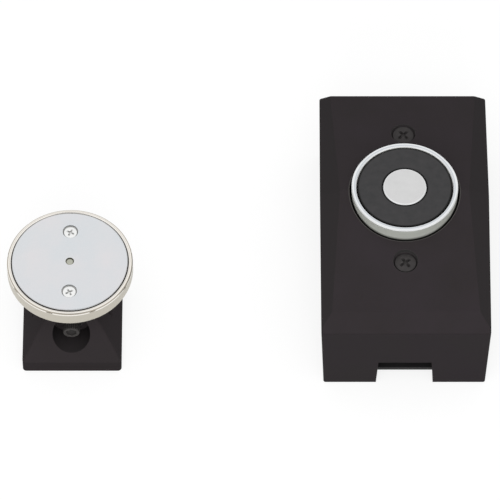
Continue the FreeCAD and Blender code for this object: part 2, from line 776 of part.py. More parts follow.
def armature_plate():
    """Zinc-plated steel disc that meets the magnet."""
    low = cup_back + cup_floor
    disc = cylinder(cup_r - cup_wall - plate_gap, low, armature_face)
    rim = [edge for edge in disc.Edges if edge.BoundBox.ZMin > armature_face - seat_gap]
    disc = disc.makeFillet(armature_edge, rim)
    clear_r = armature_screw_r + hole_gap
    for y in armature_rows:
        disc = disc.cut(cylinder(clear_r, low, armature_neck_z, 0, y))
        disc = disc.cut(cone(clear_r, armature_screw_pocket_r, armature_neck_z, armature_head_z, 0, y))
        disc = disc.cut(cylinder(armature_screw_pocket_r, armature_head_z, armature_face, 0, y))
    return on_armature(disc.cut(cylinder(pin_r + pin_ring, low, armature_face)))


def armature_screws():
    """Countersunk cross-recess screws through the plate and the cup into the post's flange."""
    screws = []
    for y in armature_rows:
        screw = cone(armature_screw_r, armature_screw_head_r, armature_neck_z, armature_head_z, 0, y)
        screw = screw.fuse(cylinder(armature_screw_r, cup_back - armature_screw_bite, armature_neck_z, 0, y))
        screws.append(on_armature(screw.cut(cross_recess(armature_screw_head_r, armature_head_z, 0, y))))
    return Part.makeCompound(screws)


def centre_pin():
    """Dowel that centres the plate and the cup on the post."""
    return on_armature(cylinder(pin_r, cup_back - pin_bite, armature_face - pin_recess))


nodes = (cover, mounting_plate, cover_standoffs, cover_screws, magnet_bracket, bracket_rivets,
         magnet_pot, magnet_core, coil_bobbin, coil_winding, potting_ring, magnet_bolt, magnet_lock_washer,
         lead_bush, coil_leads, circuit_board, board_spacers, board_screws, rectifier, terminal_block,
         terminal_screws, earth_screw, armature_base, pivot_screw, pivot_washer, pivot_spring_washer,
         swivel_post, armature_cup, armature_plate, armature_screws, centre_pin)

os.makedirs("parts", exist_ok=True)
for make in nodes:
    solid = make()
    solid.exportStep("parts/" + make.__name__ + ".step")
    print(make.__name__, len(solid.Solids), "solids", round(solid.Volume, 1), "mm3", solid.isValid())
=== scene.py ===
# %% [markdown]
# # Electromagnetic door holder
# Two units lie side by side on a white table. The right one screws to the wall: a charcoal cover with a
# roof-shaped front, and a round pot magnet that stands out of it. The left one bolts to the door: a slotted
# pyramid base, and a steel armature disc in a nickel cup that tilts on a pivot screw.
# The solids come from the CAD frame. This lesson gives them their finishes, and makes the screws again with
# what a CAD model leaves out: driver recesses with soft edges, knurling and threads.

# %% The frame
import math

import bpy
import numpy as np
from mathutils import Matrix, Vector


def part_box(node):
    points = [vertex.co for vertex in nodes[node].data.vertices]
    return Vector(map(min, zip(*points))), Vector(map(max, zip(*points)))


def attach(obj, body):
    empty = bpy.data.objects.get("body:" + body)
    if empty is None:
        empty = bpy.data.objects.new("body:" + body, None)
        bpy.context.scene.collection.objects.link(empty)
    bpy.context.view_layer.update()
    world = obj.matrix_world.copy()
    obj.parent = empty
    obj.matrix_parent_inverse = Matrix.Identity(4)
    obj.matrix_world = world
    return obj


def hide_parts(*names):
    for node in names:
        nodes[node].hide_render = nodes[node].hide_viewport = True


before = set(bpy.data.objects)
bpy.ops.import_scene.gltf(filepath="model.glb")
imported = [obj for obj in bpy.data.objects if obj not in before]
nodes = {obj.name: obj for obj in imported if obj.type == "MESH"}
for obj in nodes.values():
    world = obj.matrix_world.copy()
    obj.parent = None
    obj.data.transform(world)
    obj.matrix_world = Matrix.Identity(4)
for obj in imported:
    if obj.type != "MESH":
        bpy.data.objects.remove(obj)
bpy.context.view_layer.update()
mm = 0.001
scene = bpy.context.scene
scene.view_settings.view_transform = "Standard"

# %% [markdown]
# ## Camera
# The photographer stood well back with a long lens: upright edges stay almost parallel, and both units are
# seen from about 57 degrees above the table. One camera was fitted to the corners and ellipses of both units,
# which gives its angle, its distance and its focal length in pixels of the square picture. A camera that
# looks along +Y and down needs only one turn, about X.

# %% Camera at the photograph's viewing angle
picture_side = 500.0              # pixels
focal_length = 5698.0             # pixels
view_elevation = math.radians(56.58)
view_distance = 2.4275            # metres
view_target = Vector((-64.7 * mm, 3.85 * mm, 0))

camera_data = bpy.data.cameras.new("photo_camera")
camera_data.angle = 2 * math.atan(picture_side / 2 / focal_length)
camera = bpy.data.objects.new("photo_camera", camera_data)
towards_camera = Vector((0, -math.cos(view_elevation), math.sin(view_elevation)))
camera.location = view_target + towards_camera * view_distance
camera.rotation_euler = (math.pi / 2 - view_elevation, 0, 0)
scene.collection.objects.link(camera)
scene.camera = camera
print("camera at", [round(c, 3) for c in camera.location], "lens", round(camera_data.lens, 1))

# %% [markdown]
# ## Shader helpers
# A material is a tree of nodes. Two small helpers keep the trees readable: one adds a node and sets it up in
# the same line, the other joins an output to an input. Colours are written as on a screen, from 0 to 255, and
# turned into the linear values that the renderer works with.

# %% Helpers for node trees
def add(tree, kind, **settings):
    """Adds a node. A keyword names one of its properties or, with a capital, one of its input sockets."""
    made = tree.nodes.new(kind)
    for key, value in settings.items():
        if key[0].isupper():
            made.inputs[key.replace("_", " ")].default_value = value
        else:
            setattr(made, key, value)
    return made


def join(tree, source, target):
    """Joins an output socket to an input socket."""
    tree.links.new(source, target)


def screen_colour(red, green, blue):
    """Linear colour with alpha from screen values: c/12.92 near black, ((c + 0.055)/1.055)^2.4 above."""
    share = np.array([red, green, blue]) / 255
    linear = np.where(share < 0.04045, share / 12.92, ((share + 0.055) / 1.055) ** 2.4)
    return (*linear.tolist(), 1.0)


print("mid grey 128 is", round(screen_colour(128, 128, 128)[0], 3), "in linear light")

# %% [markdown]
# ## Light and floor
# The object was shot in a white tent and cut out on white. A plain sky, brighter overhead, does most of the
# work here. Three large soft boxes on the photographer's side make the fronts that face them a little lighter
# than the rest. The camera, mirrors and glass see white around the object, by the Light Path node, while the
# sky that lights the paint stays at a plain level. The tent has one dim place, the opening that the picture
# was taken through: polished edges that face it mirror it, and so get the grey line that tells a round edge
# from a flat face. The soft boxes themselves don't show in mirrors. The floor shows white too, and keeps a
# share of true diffuse reflection, so that the object's soft shadow stays on it.

# %% Studio sky
horizon_light = 0.2               # what lights matt surfaces from the horizon
zenith_light = 0.83               # and from overhead
horizon_white = 0.55              # what metal mirrors at the horizon
zenith_white = 1.0                # and overhead
white_height = 0.75               # how high up the mirrored sky is fully white, overhead being 1
opening_white = 0.5               # what is left of it in the tent's opening
opening_half = math.radians(24)   # from the middle of the opening to its soft edge


def seen_directly(tree):
    """Mask: 1 for rays from the camera, from a mirror or through glass, 0 for rays that only carry light."""
    path = add(tree, "ShaderNodeLightPath")
    first = add(tree, "ShaderNodeMath", operation="MAXIMUM")
    both = add(tree, "ShaderNodeMath", operation="MAXIMUM")
    join(tree, path.outputs["Is Camera Ray"], first.inputs[0])
    join(tree, path.outputs["Is Glossy Ray"], first.inputs[1])
    join(tree, first.outputs[0], both.inputs[0])
    join(tree, path.outputs["Is Transmission Ray"], both.inputs[1])
    return both.outputs[0]


world = bpy.data.worlds.new("studio_sky")
scene.world = world
world.use_nodes = True
sky = world.node_tree
sky.nodes.clear()
direction = add(sky, "ShaderNodeTexCoord")
height = add(sky, "ShaderNodeSeparateXYZ")
shown = add(sky, "ShaderNodeMapRange", interpolation_type="SMOOTHSTEP", From_Min=0.0, From_Max=white_height,
            To_Min=horizon_white, To_Max=zenith_white)
across_opening = add(sky, "ShaderNodeVectorMath", operation="DOT_PRODUCT")
across_opening.inputs[1].default_value = towards_camera
opening = add(sky, "ShaderNodeMapRange", interpolation_type="SMOOTHSTEP", From_Min=math.cos(opening_half),
              From_Max=math.cos(opening_half / 2), To_Min=1.0, To_Max=opening_white)
dimmed = add(sky, "ShaderNodeMath", operation="MULTIPLY")
camera_path = add(sky, "ShaderNodeLightPath")
white_behind = add(sky, "ShaderNodeMath", operation="MAXIMUM")
lit = add(sky, "ShaderNodeMapRange", To_Min=horizon_light, To_Max=zenith_light)
sky_shown = add(sky, "ShaderNodeBackground", Color=(1, 1, 1, 1))
sky_lit = add(sky, "ShaderNodeBackground", Color=(1, 1, 1, 1))
sky_mix = add(sky, "ShaderNodeMixShader")
sky_out = add(sky, "ShaderNodeOutputWorld")
join(sky, direction.outputs["Generated"], height.inputs[0])
join(sky, height.outputs["Z"], shown.inputs["Value"])
join(sky, direction.outputs["Generated"], across_opening.inputs[0])
join(sky, across_opening.outputs["Value"], opening.inputs["Value"])
join(sky, shown.outputs[0], dimmed.inputs[0])
join(sky, opening.outputs[0], dimmed.inputs[1])
join(sky, dimmed.outputs[0], white_behind.inputs[0])
join(sky, camera_path.outputs["Is Camera Ray"], white_behind.inputs[1])
join(sky, white_behind.outputs[0], sky_shown.inputs["Strength"])
join(sky, height.outputs["Z"], lit.inputs["Value"])
join(sky, lit.outputs[0], sky_lit.inputs["Strength"])
join(sky, seen_directly(sky), sky_mix.inputs["Fac"])
join(sky, sky_lit.outputs[0], sky_mix.inputs[1])
join(sky, sky_shown.outputs[0], sky_mix.inputs[2])
join(sky, sky_mix.outputs[0], sky_out.inputs["Surface"])
print("sky lights from", horizon_light, "to", zenith_light)
print("and mirrors from", horizon_white, "to", zenith_white)

# %% Soft boxes
def soft_box(name, azimuth, elevation, distance, side, watts):
    """Square area lamp that faces the object's middle from the given direction, in degrees."""
    lamp = bpy.data.lights.new(name, "AREA")
    lamp.size = side
    lamp.energy = watts
    turn, rise = math.radians(azimuth), math.radians(elevation)
    back = Vector((math.sin(turn) * math.cos(rise), -math.cos(turn) * math.cos(rise), math.sin(rise)))
    box = bpy.data.objects.new(name, lamp)
    box.location = view_target + back * distance
    box.rotation_mode = "QUATERNION"
    box.rotation_quaternion = (-back).to_track_quat("-Z", "Y")
    box.visible_glossy = False
    scene.collection.objects.link(box)
    return box


soft_boxes = [soft_box("key_left", azimuth=-10, elevation=60, distance=1.4, side=0.8, watts=3.6),
              soft_box("fill_right", azimuth=16, elevation=58, distance=1.5, side=0.8, watts=1.9),
              soft_box("low_front", azimuth=0, elevation=24, distance=1.6, side=0.7, watts=5.4)]
print([box.name for box in soft_boxes])

# %% Floor that shows white and keeps the shadow
floor_half = 4.0                  # metres
floor_drop = 0.1 * mm             # just under the feet, so that no two faces coincide
shadow_share = 0.25               # how much of the floor's white is true reflected light
open_floor_light = 0.8            # how bright that light is away from the object
floor_bounce = 0.24               # how much light the floor gives back to the object

floor_mesh = bpy.data.meshes.new("table_top")
corners = floor_half * np.array([[-1, -1], [1, -1], [1, 1], [-1, 1]])
floor_points = np.column_stack([corners, np.full(4, -floor_drop)])
floor_mesh.from_pydata(floor_points.tolist(), [], [(0, 1, 2, 3)])
floor = bpy.data.objects.new("table_top", floor_mesh)
scene.collection.objects.link(floor)

table_white = bpy.data.materials.new("table_white")
table_white.use_nodes = True
table = table_white.node_tree
table.nodes.clear()
table_lit = add(table, "ShaderNodeBsdfDiffuse", Color=(floor_bounce, floor_bounce, floor_bounce, 1))
table_shadow = add(table, "ShaderNodeBsdfDiffuse", Color=(shadow_share, shadow_share, shadow_share, 1))
table_glow = add(table, "ShaderNodeEmission", Color=(1, 1, 1, 1),
                 Strength=1 - shadow_share * open_floor_light)
table_sum = add(table, "ShaderNodeAddShader")
table_mix = add(table, "ShaderNodeMixShader")
table_out = add(table, "ShaderNodeOutputMaterial")
join(table, table_shadow.outputs[0], table_sum.inputs[0])
join(table, table_glow.outputs[0], table_sum.inputs[1])
join(table, seen_directly(table), table_mix.inputs["Fac"])
join(table, table_lit.outputs[0], table_mix.inputs[1])
join(table, table_sum.outputs[0], table_mix.inputs[2])
join(table, table_mix.outputs[0], table_out.inputs["Surface"])
floor_mesh.materials.append(table_white)
print("floor", 2 * floor_half, "m wide")

# %% [markdown]
# ## Effects that several finishes share
# Paint, plating and mouldings differ in colour and gloss, but share the same few surface effects. Each effect
# is a node group, built once: soft clouds for uneven colour and gloss, a fine peel for sprayed or moulded
# skins, rings for turned steel, and a mask for the edges, where a finish gets a lighter line that is partly a
# coat worn thin and partly a painted highlight. The groups put out values only. The shader itself stays in
# each material.

# %% Clouds and peel
def effect(name, inputs, output):
    """Empty node group. Inputs are (name, type, value), and the one output is the name of a plain value."""
    tree = bpy.data.node_groups.new(name, "ShaderNodeTree")
    for label, kind, value in inputs:
        socket = tree.interface.new_socket(label, in_out="INPUT", socket_type=kind)
        if value is not None:
            socket.default_value = value
    tree.interface.new_socket(output, in_out="OUTPUT", socket_type="NodeSocketFloat")
    return tree, add(tree, "NodeGroupInput"), add(tree, "NodeGroupOutput")


def sized_noise(tree, given, **settings):
    """Noise whose lumps are about as large as the group's Size input: its scale is 1 / size."""
    per_metre = add(tree, "ShaderNodeMath", operation="DIVIDE")
    per_metre.inputs[0].default_value = 1.0
    noise = add(tree, "ShaderNodeTexNoise", **settings)
    join(tree, given.outputs["Size"], per_metre.inputs[1])
    join(tree, given.outputs["Place"], noise.inputs["Vector"])
    join(tree, per_metre.outputs[0], noise.inputs["Scale"])
    return noise.outputs[0]


place_input = ("Place", "NodeSocketVector", None)

clouds, given, result = effect("clouds", [place_input, ("Size", "NodeSocketFloat", 10 * mm)], "Mask")
cloud_range = add(clouds, "ShaderNodeMapRange", From_Min=0.3, From_Max=0.7)
join(clouds, sized_noise(clouds, given, Detail=4.0, Roughness=0.6), cloud_range.inputs["Value"])
join(clouds, cloud_range.outputs[0], result.inputs["Mask"])

peel, given, result = effect("peel", [place_input, ("Size", "NodeSocketFloat", 0.8 * mm)], "Height")
join(peel, sized_noise(peel, given, Detail=2.0, Roughness=0.45), result.inputs["Height"])
print("made", clouds.name, "and", peel.name)

# %% Rings and the edge mask
flat_agreement = 0.995            # of a face's normal with the rounded one, as a cosine: no edge near
edge_agreement = 0.85             # and right on an edge

rings, given, result = effect("rings", [place_input, ("Pitch", "NodeSocketFloat", 0.12 * mm)], "Height")
flat_place = add(rings, "ShaderNodeVectorMath", operation="MULTIPLY")
flat_place.inputs[1].default_value = (1, 1, 0)
ring_radius = add(rings, "ShaderNodeVectorMath", operation="LENGTH")
ring_count = add(rings, "ShaderNodeMath", operation="DIVIDE")
ring_noise = add(rings, "ShaderNodeTexNoise", noise_dimensions="1D", Scale=1.0, Detail=2.0, Roughness=0.6)
join(rings, given.outputs["Place"], flat_place.inputs[0])
join(rings, flat_place.outputs["Vector"], ring_radius.inputs[0])
join(rings, ring_radius.outputs["Value"], ring_count.inputs[0])
join(rings, given.outputs["Pitch"], ring_count.inputs[1])
join(rings, ring_count.outputs[0], ring_noise.inputs["W"])
join(rings, ring_noise.outputs[0], result.inputs["Height"])

# Edge mask: where a finish gets a lighter line along its edges, partly a worn coat, partly a painted
# highlight.
thin_edges, given, result = effect("thin_edges", [("Width", "NodeSocketFloat", 0.6 * mm)], "Mask")
rounded = add(thin_edges, "ShaderNodeBevel", samples=6)
facing = add(thin_edges, "ShaderNodeNewGeometry")
agreement = add(thin_edges, "ShaderNodeVectorMath", operation="DOT_PRODUCT")
edge_range = add(thin_edges, "ShaderNodeMapRange", From_Min=flat_agreement, From_Max=edge_agreement)
join(thin_edges, given.outputs["Width"], rounded.inputs["Radius"])
join(thin_edges, rounded.outputs["Normal"], agreement.inputs[0])
join(thin_edges, facing.outputs["Normal"], agreement.inputs[1])
join(thin_edges, agreement.outputs["Value"], edge_range.inputs["Value"])
join(thin_edges, edge_range.outputs[0], result.inputs["Mask"])
print("made", rings.name, "and", thin_edges.name)

# %% [markdown]
# ## A finish, step by step
# Every finish has the same plan. Clouds mix two close colours, and move the roughness a little, because no
# real coating is perfectly even. A height pattern, peel or rings, goes through a Bump node into the normal.
# At the edges, the edge mask mixes in a third colour, a lighter line that is partly a coat worn thin and
# partly a painted highlight. In a driver recess, in the gap round a head and between knurls, the piece's own
# "hollow" attribute mixes in a dark one: painted shade. A turned piece may also have zones: below a level of
# its own Z it has another colour, roughness and share of metal. The other masks place bands about an axis,
# some of them painted light or shade, painted shade below a roof, on the wall of a bore, in dents and on
# faces that lean far to the side, and painted light in the pockets of screws. What is the same all over, such
# as specular level, is set on the shader itself.

# %% Mixes, and masks by level and radius
def mixed(tree, kind, mask, low, high):
    """Mix of two colours, kind RGBA, or two values, kind FLOAT. Each is a constant or an output socket."""
    node = add(tree, "ShaderNodeMix", data_type=kind)
    first, second, result_place = (6, 7, 2) if kind == "RGBA" else (2, 3, 0)
    for slot_place, given_value in ((first, low), (second, high)):
        if isinstance(given_value, bpy.types.NodeSocket):
            join(tree, given_value, node.inputs[slot_place])
        else:
            node.inputs[slot_place].default_value = given_value
    join(tree, mask, node.inputs[0])
    return node.outputs[result_place]


def tinted(tree, colour, mask, tint):
    """A colour with another one, given as on a screen, mixed in where the mask is 1."""
    return mixed(tree, "RGBA", mask, colour, screen_colour(*tint))


def above_level(tree, place, level, blur=0.02 * mm):
    """Mask: 0 below a level of the piece's own Z, 1 above it."""
    split = add(tree, "ShaderNodeSeparateXYZ")
    mask = add(tree, "ShaderNodeMapRange", From_Min=level - blur, From_Max=level + blur)
    join(tree, place, split.inputs[0])
    join(tree, split.outputs["Z"], mask.inputs["Value"])
    return mask.outputs[0]


def near_radius(tree, place, radius, half_width):
    """Mask: 1 at a distance from the Z axis, falling to 0 at half the band's width further in or out."""
    full_share = 0.4
    flat = add(tree, "ShaderNodeVectorMath", operation="MULTIPLY")
    flat.inputs[1].default_value = (1, 1, 0)
    out = add(tree, "ShaderNodeVectorMath", operation="LENGTH")
    away = add(tree, "ShaderNodeMath", operation="SUBTRACT")
    away.inputs[1].default_value = radius
    size = add(tree, "ShaderNodeMath", operation="ABSOLUTE")
    mask = add(tree, "ShaderNodeMapRange", From_Min=half_width, From_Max=full_share * half_width)
    join(tree, place, flat.inputs[0])
    join(tree, flat.outputs["Vector"], out.inputs[0])
    join(tree, out.outputs["Value"], away.inputs[0])
    join(tree, away.outputs[0], size.inputs[0])
    join(tree, size.outputs[0], mask.inputs["Value"])
    return mask.outputs[0]


print("masks by level and radius: above_level, near_radius")

# %% Masks for the cover, the pot and the base
def over_roof(tree, place, ridge, slope, blur):
    """Mask: 1 above a roof with its ridge along X, falling by slope to both ends of Y, and 0 a blur below."""
    split = add(tree, "ShaderNodeSeparateXYZ")
    side = add(tree, "ShaderNodeMath", operation="ABSOLUTE")
    level = add(tree, "ShaderNodeMath", operation="MULTIPLY_ADD")
    level.inputs[1].default_value = slope
    mask = add(tree, "ShaderNodeMapRange", From_Min=ridge - blur, From_Max=ridge)
    join(tree, place, split.inputs[0])
    join(tree, split.outputs["Y"], side.inputs[0])
    join(tree, side.outputs[0], level.inputs[0])
    join(tree, split.outputs["Z"], level.inputs[2])
    join(tree, level.outputs[0], mask.inputs["Value"])
    return mask.outputs[0]


def in_bore(tree, place, middle, radius, floor_y, blur=0.05 * mm):
    """Mask: 1 on the wall of a hole along Y about the middle, given as x and z, and 0 from its floor on."""
    split = add(tree, "ShaderNodeSeparateXYZ")
    flat = add(tree, "ShaderNodeCombineXYZ")
    away = add(tree, "ShaderNodeVectorMath", operation="SUBTRACT")
    away.inputs[1].default_value = (*middle, 0)
    out = add(tree, "ShaderNodeVectorMath", operation="LENGTH")
    inside = add(tree, "ShaderNodeMapRange", From_Min=radius + blur, From_Max=radius - blur)
    before = add(tree, "ShaderNodeMapRange", From_Min=floor_y - blur, From_Max=floor_y - 2 * blur)
    both = add(tree, "ShaderNodeMath", operation="MULTIPLY")
    join(tree, place, split.inputs[0])
    join(tree, split.outputs["X"], flat.inputs["X"])
    join(tree, split.outputs["Z"], flat.inputs["Y"])
    join(tree, flat.outputs[0], away.inputs[0])
    join(tree, away.outputs["Vector"], out.inputs[0])
    join(tree, out.outputs["Value"], inside.inputs["Value"])
    join(tree, split.outputs["Y"], before.inputs["Value"])
    join(tree, inside.outputs[0], both.inputs[0])
    join(tree, before.outputs[0], both.inputs[1])
    return both.outputs[0]


def leaning_sides(tree, low, high):
    """Mask: 0 where the normal's X, without its sign, is under low, and 1 where it is over high."""
    facing = add(tree, "ShaderNodeNewGeometry")
    split = add(tree, "ShaderNodeSeparateXYZ")
    lean = add(tree, "ShaderNodeMath", operation="ABSOLUTE")
    mask = add(tree, "ShaderNodeMapRange", From_Min=low, From_Max=high)
    join(tree, facing.outputs["Normal"], split.inputs[0])
    join(tree, split.outputs["X"], lean.inputs[0])
    join(tree, lean.outputs[0], mask.inputs["Value"])
    return mask.outputs[0]


def near_pair(tree, place, offset, radius, half_width):
    """Mask: 1 at a distance from either of two upright axes, which lie at the same offset either way on Y."""
    split = add(tree, "ShaderNodeSeparateXYZ")
    side = add(tree, "ShaderNodeMath", operation="ABSOLUTE")
    away = add(tree, "ShaderNodeMath", operation="SUBTRACT")
    away.inputs[1].default_value = offset
    flat = add(tree, "ShaderNodeCombineXYZ")
    join(tree, place, split.inputs[0])
    join(tree, split.outputs["Y"], side.inputs[0])
    join(tree, side.outputs[0], away.inputs[0])
    join(tree, split.outputs["X"], flat.inputs["X"])
    join(tree, away.outputs[0], flat.inputs["Y"])
    return near_radius(tree, flat.outputs[0], radius, half_width)


print("masks for the cover, the pot and the base: over_roof, in_bore, leaning_sides, near_pair")

# %% Mask for the dents round the cup
def dashes_round(tree, place, count, first, half_turn, level, half_height):
    """Mask: 1 in dashes round the Z axis, evenly spaced from the first one's angle, at one level."""
    full_turn, full_height = 0.6, 0.5     # shares of a dash, along and across, that are fully 1
    per_turn = count / (2 * math.pi)
    reach = half_turn * per_turn
    split = add(tree, "ShaderNodeSeparateXYZ")
    angle = add(tree, "ShaderNodeMath", operation="ARCTAN2")
    steps = add(tree, "ShaderNodeMath", operation="MULTIPLY_ADD")
    steps.inputs[1].default_value = per_turn
    steps.inputs[2].default_value = 0.5 - first * per_turn
    share = add(tree, "ShaderNodeMath", operation="FRACT")
    from_dash = add(tree, "ShaderNodeMath", operation="PINGPONG")
    from_dash.inputs[1].default_value = 0.5
    along = add(tree, "ShaderNodeMapRange", From_Min=0.5 - reach, From_Max=0.5 - full_turn * reach)
    drop = add(tree, "ShaderNodeMath", operation="SUBTRACT")
    drop.inputs[1].default_value = level
    size = add(tree, "ShaderNodeMath", operation="ABSOLUTE")
    across = add(tree, "ShaderNodeMapRange", From_Min=half_height, From_Max=full_height * half_height)
    both = add(tree, "ShaderNodeMath", operation="MULTIPLY")
    join(tree, place, split.inputs[0])
    join(tree, split.outputs["Y"], angle.inputs[0])
    join(tree, split.outputs["X"], angle.inputs[1])
    join(tree, angle.outputs[0], steps.inputs[0])
    join(tree, steps.outputs[0], share.inputs[0])
    join(tree, share.outputs[0], from_dash.inputs[0])
    join(tree, from_dash.outputs[0], along.inputs["Value"])
    join(tree, split.outputs["Z"], drop.inputs[0])
    join(tree, drop.outputs[0], size.inputs[0])
    join(tree, size.outputs[0], across.inputs["Value"])
    join(tree, along.outputs[0], both.inputs[0])
    join(tree, across.outputs[0], both.inputs[1])
    return both.outputs[0]


print("mask for the cup: dashes_round")

# %% One function for all the finishes
side_shade_lean = (0.2, 0.35)         # X of a face's normal where painted shade on steep faces starts, and where it is full
shade_rough = 0.8                  # roughness of the painted shade below a roof, which is no metal either


def finish(name, dark, light, rough, cloud=12 * mm, height="peel", grain=0.5 * mm, depth=0.01 * mm,
           edge=None, centre=(0, 0), zones=(), bands=(), pockets=None, dents=None, hollow=None, roof=None,
           bore=None, sides=None, **shader_values):
    """Material: colours from dark to light and roughness from rough[0] to rough[1] by clouds, with a bump.

    Zones are (level, colour, roughness, metal), from the top down. Bands are (radius, half width, colour)
    round the centre. Pockets (offset, radius, half width, colour) paint light round two upright axes, and
    dents (count, first, half turn, level, half height, colour) paint shade in dashes round the axis. Hollow
    is the colour of painted shade in a recess, roof (ridge, slope, blur, colour) gives painted shade below a
    roof, and bore ((x, z), radius, floor's y, colour) that on the wall of a hole along Y. Sides is painted
    shade, the colour of faces that lean far to either side along X. Edge is a lighter colour along edges,
    partly a coat worn thin, partly a painted highlight.
    """
    material = bpy.data.materials.new(name)
    material.use_nodes = True
    tree = material.node_tree
    shader = tree.nodes["Principled BSDF"]
    for label, value in shader_values.items():
        shader.inputs[label.replace("_", " ")].default_value = value
    place = add(tree, "ShaderNodeTexCoord").outputs["Object"]
    mapping = add(tree, "ShaderNodeMapping", Location=(-centre[0], -centre[1], 0))
    join(tree, place, mapping.inputs["Vector"])
    centred = mapping.outputs[0]

    tone = add(tree, "ShaderNodeGroup", node_tree=clouds, Size=cloud)
    join(tree, centred, tone.inputs["Place"])
    colour = mixed(tree, "RGBA", tone.outputs["Mask"], screen_colour(*dark), screen_colour(*light))
    gloss = mixed(tree, "FLOAT", tone.outputs["Mask"], rough[0], rough[1])
    metal = shader_values.get("Metallic", 0.0)
    for level, low_colour, low_gloss, low_metal in zones:
        upper = above_level(tree, place, level)
        colour = mixed(tree, "RGBA", upper, screen_colour(*low_colour), colour)
        gloss = mixed(tree, "FLOAT", upper, low_gloss, gloss)
        metal = mixed(tree, "FLOAT", upper, low_metal, metal)
    # Sides: painted shade, a darker colour on faces that lean far to either side along X.
    if sides:
        colour = tinted(tree, colour, leaning_sides(tree, *side_shade_lean), sides)
    # Edge: a lighter line along the edges, partly a coat worn thin, partly a painted highlight.
    if edge:
        edges = add(tree, "ShaderNodeGroup", node_tree=thin_edges)
        colour = tinted(tree, colour, edges.outputs["Mask"], edge)
    for radius, half_width, band_colour in bands:
        colour = tinted(tree, colour, near_radius(tree, centred, radius, half_width), band_colour)
    # Pockets: painted light, a lighter colour on the pocket walls round two upright axes.
    if pockets:
        *pocket_shape, pocket_light = pockets
        colour = tinted(tree, colour, near_pair(tree, place, *pocket_shape), pocket_light)
    # Dents: painted shade, dark dashes round the axis at one level.
    if dents:
        *dent_shape, dent_shade = dents
        colour = tinted(tree, colour, dashes_round(tree, centred, *dent_shape), dent_shade)
    # Hollow: painted shade, darker in driver recesses, in the gap round a head and between knurls.
    if hollow:
        painted_shade = add(tree, "ShaderNodeAttribute", attribute_name="hollow")
        colour = tinted(tree, colour, painted_shade.outputs["Fac"], hollow)
    # Bore: painted shade, a darker colour on the wall of a hole along Y.
    if bore:
        *bore_shape, bore_colour = bore
        colour = tinted(tree, colour, in_bore(tree, place, *bore_shape), bore_colour)
    # Roof: painted shade, a dark, rough, non-metal colour below a roof's level.
    if roof:
        *roof_shape, roof_colour = roof
        above_shade = over_roof(tree, place, *roof_shape)
        colour = mixed(tree, "RGBA", above_shade, screen_colour(*roof_colour), colour)
        gloss = mixed(tree, "FLOAT", above_shade, shade_rough, gloss)
        metal = mixed(tree, "FLOAT", above_shade, 0.0, metal)
    join(tree, colour, shader.inputs["Base Color"])
    join(tree, gloss, shader.inputs["Roughness"])
    if zones or roof:
        join(tree, metal, shader.inputs["Metallic"])

    pattern = add(tree, "ShaderNodeGroup", node_tree=bpy.data.node_groups[height])
    pattern.inputs[1].default_value = grain
    bump = add(tree, "ShaderNodeBump", Strength=1.0, Distance=depth)
    join(tree, centred, pattern.inputs["Place"])
    join(tree, pattern.outputs["Height"], bump.inputs["Height"])
    join(tree, bump.outputs["Normal"], shader.inputs["Normal"])
    return material


print("finish() is ready")

# %% [markdown]
# ## Finishes of the outside
# The cover and the base have a satin charcoal coat, warm rather than blue, which on the base is painted a
# little lighter against the shade it stands in under the armature. On the cover, a painted highlight makes a
# lighter line round the magnet's hole, on its rounded edge, the screw pockets are painted lighter against the
# shade in them, and the bevels get a greyer painted shade. In the base, the wall of the counterbore is
# painted darker, a painted shade. The cover's screws and the washers are blackened steel, the pivot screw is
# oiled and painted a little lighter against the shade of the armature over it, and the post under the cup has
# a deeper black of its own. Pot and core are turned and plated: their faces show faint rings about the
# magnet's axis, their chamfers are polished, and the pot's side is satin, with painted shade in the gap where
# it goes into the cover. The resin round the core is matt and cloudy, and dark where it meets steel. On the
# door unit, the cup is nickel with a champagne tint, bright on its lip, with a few lines on the lip that
# paint the shade of its rounds, dashes that paint the shade in its dents, and a duller side that is painted
# darker as a reflection of the dark base under it. The disc is blue bright zinc, which is never quite even,
# with painted shade in a ring on the pin's edge, the wall of the pin's hole painted lighter against its
# shade, and its screws are whiter. Pictures could be painted for all this, but masks worked out from the
# frame's sizes stay sharp.

# %% Sizes and places of the pieces, from the frame
def middle_of(name):
    """Middle of a node's box: half the sum of its two corners."""
    low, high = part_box(name)
    return (low + high) / 2


def radius_of(name):
    """Radius of a node that is round about Z: half its box's width along X."""
    low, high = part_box(name)
    return (high[0] - low[0]) / 2


def top_of(name):
    """Highest Z of a node's box."""
    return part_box(name)[1][2]


pot_r = radius_of("magnet_pot")
core_r = radius_of("magnet_core")
resin_r = radius_of("potting_ring")
cup_r = radius_of("armature_cup")
pin_r = radius_of("centre_pin")
screw_head_r = radius_of("cover_screws")
magnet_face = top_of("magnet_pot")
cover_ridge = top_of("cover")
cup_top = top_of("armature_cup")
plate_top = top_of("armature_plate")
armature_axis = middle_of("armature_plate")[:2]
pivot_middle = middle_of("pivot_screw")
screw_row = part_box("cover_screws")[1][1] - screw_head_r     # how far the cover screws' axes lie out along Y
print("armature axis at", [round(c / mm, 1) for c in armature_axis], "mm")

# %% Paint and black steel
hole_edge = pot_r + 1.0 * mm           # where the cover's coat ends round the magnet
pocket_r = screw_head_r + 0.5 * mm     # of the pockets that the cover screws lie in
counterbore_r = 7.85 * mm              # of the hole that the pivot screw's head lies in
# Radius of the painted shade on the counterbore's wall, a little over the bore's own.
bore_shade_r = counterbore_r + 0.1 * mm
counterbore_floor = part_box("pivot_washer")[1][1]
bore_middle = (pivot_middle[0], pivot_middle[2])

